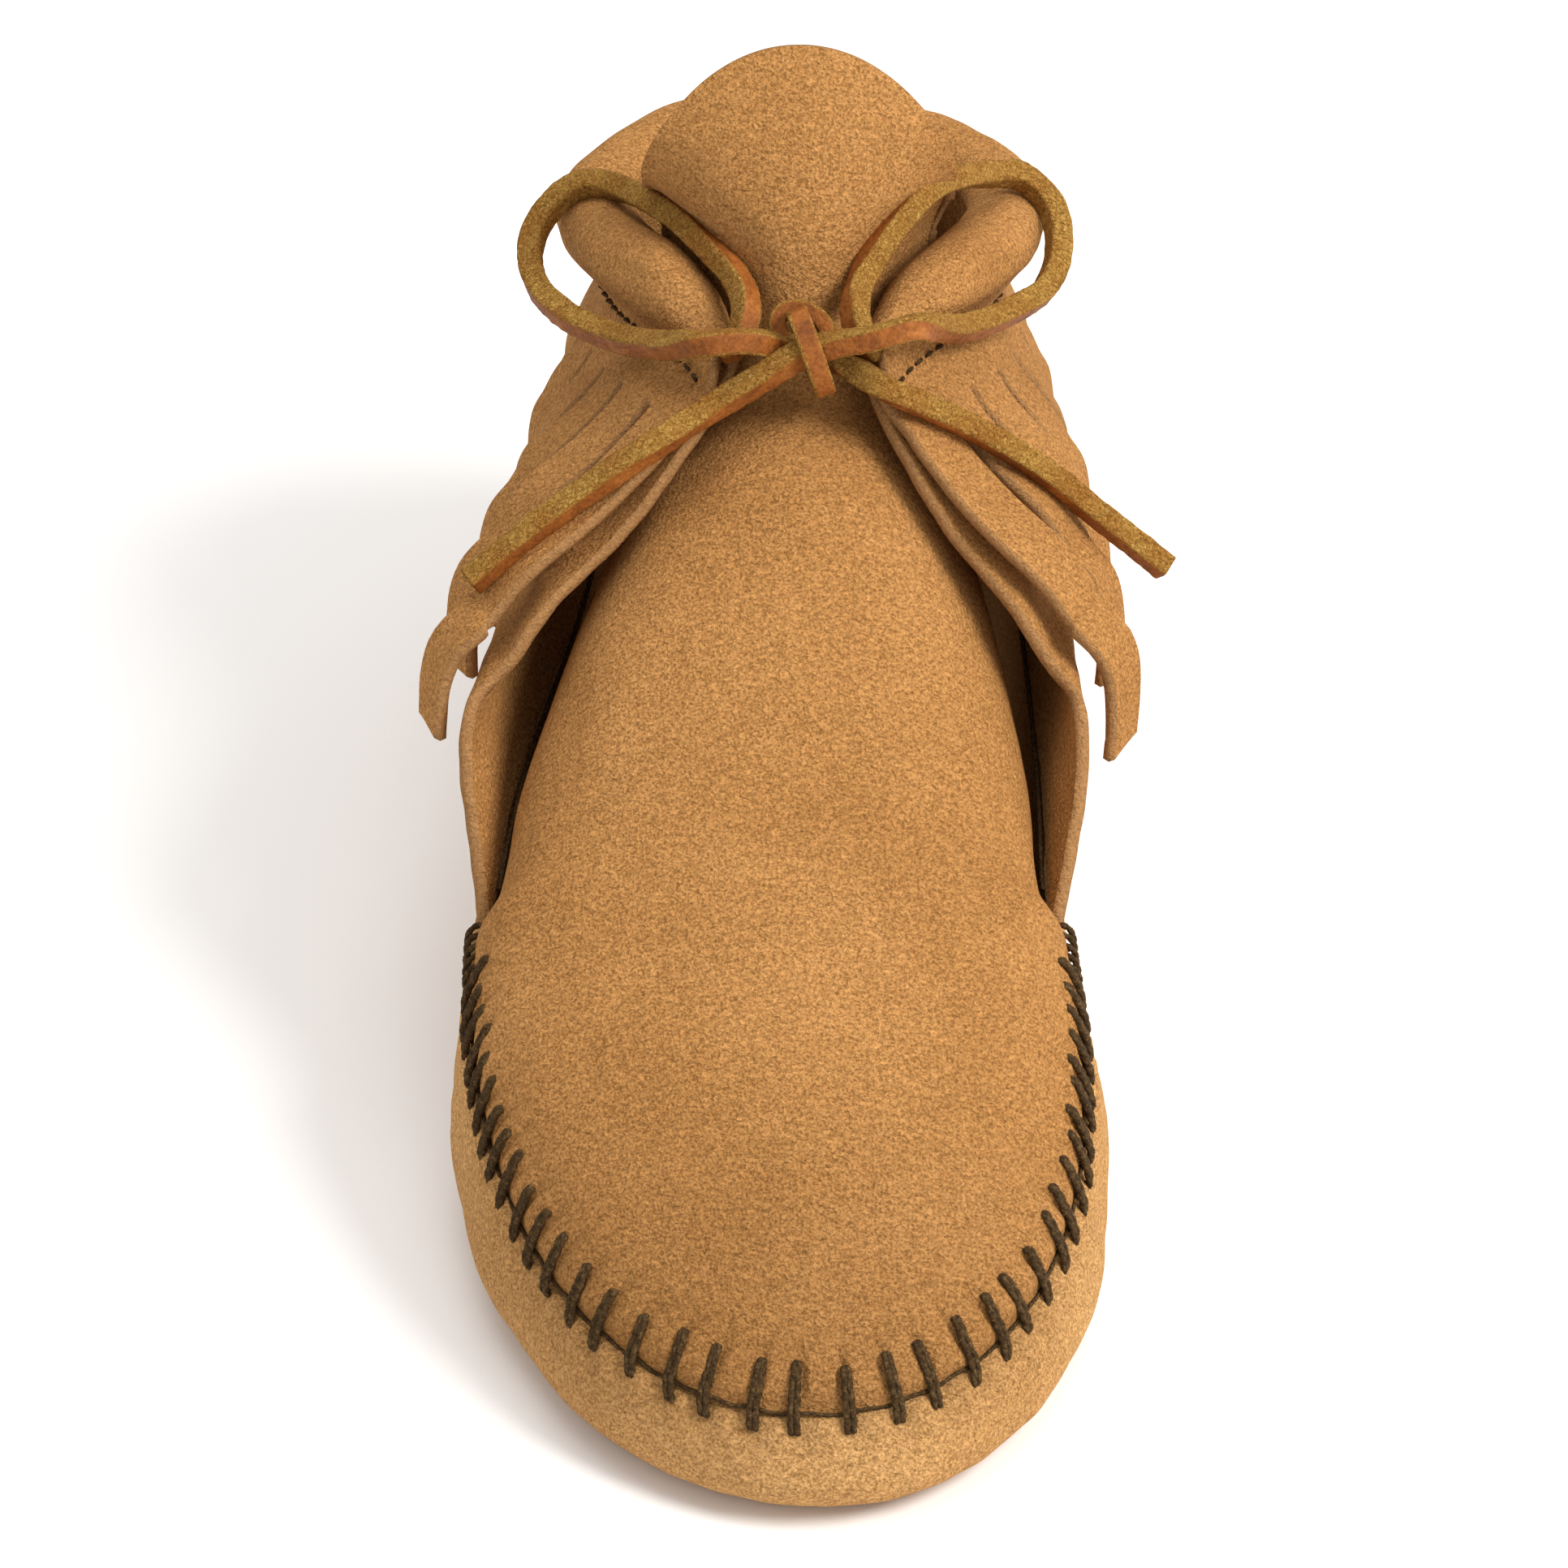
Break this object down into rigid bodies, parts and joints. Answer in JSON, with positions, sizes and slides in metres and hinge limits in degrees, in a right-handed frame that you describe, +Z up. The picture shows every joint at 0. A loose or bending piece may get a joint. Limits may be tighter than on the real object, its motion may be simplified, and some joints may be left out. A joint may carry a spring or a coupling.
{
  "type": "moccasin",
  "caption": "Right-foot suede ankle moccasin with gathered whip-stitched toe, tongue, rolled collar, hanging fringe cuff and a thong lace tied in a bow.",
  "frame": {"origin": "on the ground under the middle of the sole's length, midway across the width at the heel and toe ends", "axes": "+X towards the inner (medial) side of the right foot, +Y towards the heel, +Z up"},
  "size_m": [0.1133, 0.2396, 0.13],
  "materials": {
    "upper_suede": "napped tan suede with cut edges",
    "sole_suede": "napped tan suede, slightly paler, scuffed under the foot",
    "thread": "dark olive-brown twisted waxed thread",
    "lace_leather": "square-cut thong, smooth red-brown grain face and fuzzy olive flesh faces",
    "insole_foam": "matt cream foam sock",
    "insole_suede": "thin brushed suede sock lining"
  },
  "bodies": {
    "root": {"bottom": "sole_suede", "plug": "upper_suede", "quarter_left": "upper_suede", "cuff_left": "upper_suede", "quarter_right": "upper_suede", "cuff_right": "upper_suede", "plug_seam_thread": "thread", "throat_tack_left": "thread", "collar_thread_left": "thread", "side_seam_thread_left": "thread", "throat_tack_right": "thread", "collar_thread_right": "thread", "side_seam_thread_right": "thread", "heel_seam_thread": "thread", "insole_foam": "insole_foam", "insole_cover": "insole_suede", "lace_in_collar": "lace_leather", "lace_left": "lace_leather", "lace_right": "lace_leather", "knot_wrap": "lace_leather"},
    "tongue": {"tongue": "upper_suede"},
    "fringe_left_01": {"fringe_left_01": "upper_suede"},
    "fringe_left_02": {"fringe_left_02": "upper_suede"},
    "fringe_left_03": {"fringe_left_03": "upper_suede"},
    "fringe_left_04": {"fringe_left_04": "upper_suede"},
    "fringe_left_05": {"fringe_left_05": "upper_suede"},
    "fringe_left_06": {"fringe_left_06": "upper_suede"},
    "fringe_left_07": {"fringe_left_07": "upper_suede"},
    "fringe_left_08": {"fringe_left_08": "upper_suede"},
    "fringe_left_09": {"fringe_left_09": "upper_suede"},
    "fringe_left_10": {"fringe_left_10": "upper_suede"},
    "fringe_left_11": {"fringe_left_11": "upper_suede"},
    "fringe_right_01": {"fringe_right_01": "upper_suede"},
    "fringe_right_02": {"fringe_right_02": "upper_suede"},
    "fringe_right_03": {"fringe_right_03": "upper_suede"},
    "fringe_right_04": {"fringe_right_04": "upper_suede"},
    "fringe_right_05": {"fringe_right_05": "upper_suede"},
    "fringe_right_06": {"fringe_right_06": "upper_suede"},
    "fringe_right_07": {"fringe_right_07": "upper_suede"},
    "fringe_right_08": {"fringe_right_08": "upper_suede"},
    "fringe_right_09": {"fringe_right_09": "upper_suede"},
    "fringe_right_10": {"fringe_right_10": "upper_suede"},
    "fringe_right_11": {"fringe_right_11": "upper_suede"}
  },
  "joints": [
    {"name": "tongue_fold", "type": "hinge", "parent": "root", "child": "tongue", "pos_m": [0.00232, 0.056, 0.066], "axis": [-1, 0, 0], "range_deg": [0, 12], "stiffness_Nm_per_rad": 0.08},
    {"name": "fringe_left_01_swing", "type": "hinge", "parent": "root", "child": "fringe_left_01", "pos_m": [-0.01826, 0.02688, 0.08925], "axis": [-0.3428, 0.9348, -0.0928], "range_deg": [-4, 0], "stiffness_Nm_per_rad": 0.0006},
    {"name": "fringe_left_02_swing", "type": "hinge", "parent": "root", "child": "fringe_left_02", "pos_m": [-0.02231, 0.03642, 0.08725], "axis": [-0.3788, 0.8852, -0.27], "range_deg": [0, 50], "stiffness_Nm_per_rad": 0.0006},
    {"name": "fringe_left_03_swing", "type": "hinge", "parent": "root", "child": "fringe_left_03", "pos_m": [-0.02594, 0.04558, 0.08396], "axis": [-0.294, 0.8927, -0.3416], "range_deg": [0, 50], "stiffness_Nm_per_rad": 0.0006},
    {"name": "fringe_left_04_swing", "type": "hinge", "parent": "root", "child": "fringe_left_04", "pos_m": [-0.02863, 0.05494, 0.08034], "axis": [-0.1999, 0.9261, -0.3201], "range_deg": [0, 50], "stiffness_Nm_per_rad": 0.0006},
    {"name": "fringe_left_05_swing", "type": "hinge", "parent": "root", "child": "fringe_left_05", "pos_m": [-0.03027, 0.06473, 0.07724], "axis": [-0.1037, 0.9579, -0.2678], "range_deg": [0, 50], "stiffness_Nm_per_rad": 0.0006},
    {"name": "fringe_left_06_swing", "type": "hinge", "parent": "root", "child": "fringe_left_06", "pos_m": [-0.03094, 0.07477, 0.07463], "axis": [-0.0074, 0.975, -0.222], "range_deg": [0, 50], "stiffness_Nm_per_rad": 0.0006},
    {"name": "fringe_left_07_swing", "type": "hinge", "parent": "root", "child": "fringe_left_07", "pos_m": [-0.03029, 0.08503, 0.07286], "axis": [0.1266, 0.9856, -0.1124], "range_deg": [0, 50], "stiffness_Nm_per_rad": 0.0006},
    {"name": "fringe_left_08_swing", "type": "hinge", "parent": "root", "child": "fringe_left_08", "pos_m": [-0.02774, 0.09497, 0.07215], "axis": [0.4268, 0.9035, -0.039], "range_deg": [0, 50], "stiffness_Nm_per_rad": 0.0006},
    {"name": "fringe_left_09_swing", "type": "hinge", "parent": "root", "child": "fringe_left_09", "pos_m": [-0.02169, 0.10336, 0.07195], "axis": [0.7153, 0.6988, -0.0032], "range_deg": [0, 50], "stiffness_Nm_per_rad": 0.0006},
    {"name": "fringe_left_10_swing", "type": "hinge", "parent": "root", "child": "fringe_left_10", "pos_m": [-0.01318, 0.10925, 0.07203], "axis": [0.9051, 0.425, 0.0164], "range_deg": [0, 50], "stiffness_Nm_per_rad": 0.0006},
    {"name": "fringe_left_11_swing", "type": "hinge", "parent": "root", "child": "fringe_left_11", "pos_m": [-0.00322, 0.11209, 0.07223], "axis": [0.9924, 0.1221, 0.0145], "range_deg": [0, 50], "stiffness_Nm_per_rad": 0.0006},
    {"name": "fringe_right_01_swing", "type": "hinge", "parent": "root", "child": "fringe_right_01", "pos_m": [0.02175, 0.02623, 0.08869], "axis": [-0.3977, -0.9121, 0.0993], "range_deg": [-4, 6], "stiffness_Nm_per_rad": 0.0006},
    {"name": "fringe_right_02_swing", "type": "hinge", "parent": "root", "child": "fringe_right_02", "pos_m": [0.02637, 0.03567, 0.08668], "axis": [-0.4215, -0.8695, 0.2574], "range_deg": [-3.5, 2], "stiffness_Nm_per_rad": 0.0006},
    {"name": "fringe_right_03_swing", "type": "hinge", "parent": "root", "child": "fringe_right_03", "pos_m": [0.03056, 0.04484, 0.0836], "axis": [-0.3519, -0.8838, 0.3085], "range_deg": [0, 18], "stiffness_Nm_per_rad": 0.0006},
    {"name": "fringe_right_04_swing", "type": "hinge", "parent": "root", "child": "fringe_right_04", "pos_m": [0.03387, 0.05428, 0.08023], "axis": [-0.2425, -0.9226, 0.2999], "range_deg": [0, 50], "stiffness_Nm_per_rad": 0.0006},
    {"name": "fringe_right_05_swing", "type": "hinge", "parent": "root", "child": "fringe_right_05", "pos_m": [0.03579, 0.06419, 0.07724], "axis": [-0.1172, -0.9584, 0.2602], "range_deg": [0, 50], "stiffness_Nm_per_rad": 0.0006},
    {"name": "fringe_right_06_swing", "type": "hinge", "parent": "root", "child": "fringe_right_06", "pos_m": [0.03649, 0.07438, 0.07462], "axis": [0, -0.975, 0.2221], "range_deg": [0, 50], "stiffness_Nm_per_rad": 0.0006},
    {"name": "fringe_right_07_swing", "type": "hinge", "parent": "root", "child": "fringe_right_07", "pos_m": [0.03568, 0.08477, 0.07281], "axis": [0.1456, -0.9829, 0.1129], "range_deg": [0, 50], "stiffness_Nm_per_rad": 0.0006},
    {"name": "fringe_right_08_swing", "type": "hinge", "parent": "root", "child": "fringe_right_08", "pos_m": [0.03293, 0.09483, 0.07209], "axis": [0.4374, -0.8984, 0.0383], "range_deg": [0, 50], "stiffness_Nm_per_rad": 0.0006},
    {"name": "fringe_right_09_swing", "type": "hinge", "parent": "root", "child": "fringe_right_09", "pos_m": [0.0267, 0.10328, 0.0719], "axis": [0.7213, -0.6926, 0.0025], "range_deg": [0, 50], "stiffness_Nm_per_rad": 0.0006},
    {"name": "fringe_right_10_swing", "type": "hinge", "parent": "root", "child": "fringe_right_10", "pos_m": [0.01803, 0.10921, 0.07199], "axis": [0.906, -0.423, -0.018], "range_deg": [0, 50], "stiffness_Nm_per_rad": 0.0006},
    {"name": "fringe_right_11_swing", "type": "hinge", "parent": "root", "child": "fringe_right_11", "pos_m": [0.00793, 0.11208, 0.07222], "axis": [0.9923, -0.1224, -0.0173], "range_deg": [0, 50], "stiffness_Nm_per_rad": 0.0006}
  ]
}
